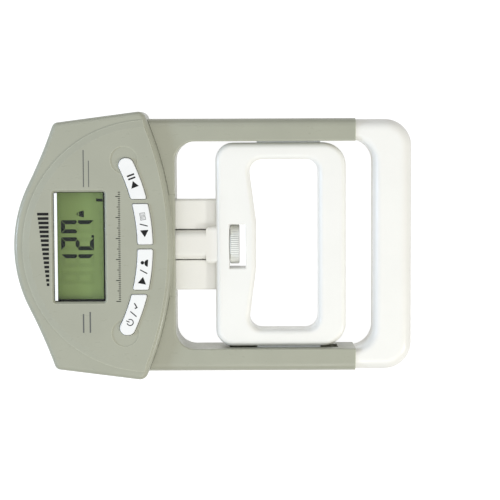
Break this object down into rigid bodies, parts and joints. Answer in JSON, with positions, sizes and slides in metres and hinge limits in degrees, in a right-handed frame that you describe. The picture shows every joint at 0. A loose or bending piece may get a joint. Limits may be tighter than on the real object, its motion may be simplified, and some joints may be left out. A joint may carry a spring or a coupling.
{
  "type": "hand dynamometer",
  "caption": "Electronic hand dynamometer with a display head, a sliding grip handle set by a thumbwheel, and a fixed palm bar.",
  "frame": {"origin": "centre of the bounding box's bottom face, on the surface that the back rests on", "axes": "+X from the display head to the palm grip, +Z out of the display, +Y across"},
  "size_m": [0.19, 0.128, 0.0308],
  "materials": {
    "casing_grey": "fine satin texture, pale grey-green ABS",
    "casing_white": "smooth semi-matt white ABS",
    "door_grey": "fine satin texture",
    "button_white": "smooth, slightly glossy",
    "clear_window": "clear polished acrylic",
    "lcd_glass": "green-grey reflective liquid crystal panel",
    "lcd_holder": "white moulded frame",
    "gasket_black": "soft black rubber",
    "circuit_green": "green solder mask",
    "chip_black": "moulded chip cases",
    "switch_metal": "stamped switch covers",
    "cell_aluminium": "milled",
    "gauge_foil": "foil on a polyimide backing",
    "wire_sleeve": "thin flexible sleeve",
    "steel": "turned and plated",
    "screw_steel": "zinc plated",
    "wheel_beige": "ribbed, smooth moulded",
    "shoe_white": "waxy acetal",
    "battery_can": "printed plain sleeve on a drawn can",
    "contact_nickel": "nickel-plated spring strip",
    "tray_grey": "dark moulded insert"
  },
  "bodies": {
    "body": {"front_frame": "casing_grey", "rear_frame": "casing_grey", "head_cover": "casing_grey", "display_window": "clear_window", "display_gasket": "gasket_black", "lcd_holder": "lcd_holder", "lcd_panel": "lcd_glass", "zebra_connector": "gasket_black", "circuit_board": "circuit_green", "circuit_chips": "chip_black", "tact_switches": "switch_metal", "load_cell": "cell_aluminium", "strain_gauges": "gauge_foil", "sensor_wires": "wire_sleeve", "link_tube": "steel", "lock_nut": "steel", "batteries": "battery_can", "battery_contacts": "contact_nickel", "battery_tray": "tray_grey", "palm_grip_front": "casing_white", "palm_grip_rear": "casing_white", "case_screws": "screw_steel", "rail_screws": "screw_steel", "palm_screws": "screw_steel", "load_cell_screws": "screw_steel", "board_screws": "screw_steel"},
    "handle": {"handle_front": "casing_white", "handle_rear": "casing_white", "guide_shoes": "shoe_white", "handle_screws": "screw_steel", "thrust_washer": "shoe_white"},
    "wheel": {"thumbwheel": "wheel_beige", "adjusting_screw": "steel", "retaining_ring": "screw_steel"},
    "start_key": {"start_button": "button_white"},
    "down_key": {"down_button": "button_white"},
    "up_key": {"up_button": "button_white"},
    "set_key": {"set_button": "button_white"},
    "door": {"battery_door": "door_grey"}
  },
  "joints": [
    {"name": "wheel_spin", "type": "hinge", "parent": "handle", "child": "wheel", "pos_m": [0, 0, 0.0125], "axis": [1, 0, 0], "range_deg": [-3744.01, 2304.01]},
    {"name": "handle_slide", "type": "slide", "parent": "body", "child": "handle", "axis": [1, 0, 0], "range_m": [-0.013, 0.008]},
    {"name": "start_press", "type": "slide", "parent": "body", "child": "start_key", "axis": [0, 0, -1], "range_m": [0, 0.0006], "stiffness_N_per_m": 600, "springref_m": -0.0004},
    {"name": "down_press", "type": "slide", "parent": "body", "child": "down_key", "axis": [0, 0, -1], "range_m": [0, 0.0006], "stiffness_N_per_m": 600, "springref_m": -0.0004},
    {"name": "up_press", "type": "slide", "parent": "body", "child": "up_key", "axis": [0, 0, -1], "range_m": [0, 0.0006], "stiffness_N_per_m": 600, "springref_m": -0.0004},
    {"name": "set_press", "type": "slide", "parent": "body", "child": "set_key", "axis": [0, 0, -1], "range_m": [0, 0.0006], "stiffness_N_per_m": 600, "springref_m": -0.0004},
    {"name": "door_slide", "type": "slide", "parent": "body", "child": "door", "axis": [-1, 0, 0], "range_m": [0, 0.012]}
  ],
  "couplings": [
    {"joint": "wheel_spin", "follows": "handle_slide", "rad_per_m": 5026.5}
  ]
}
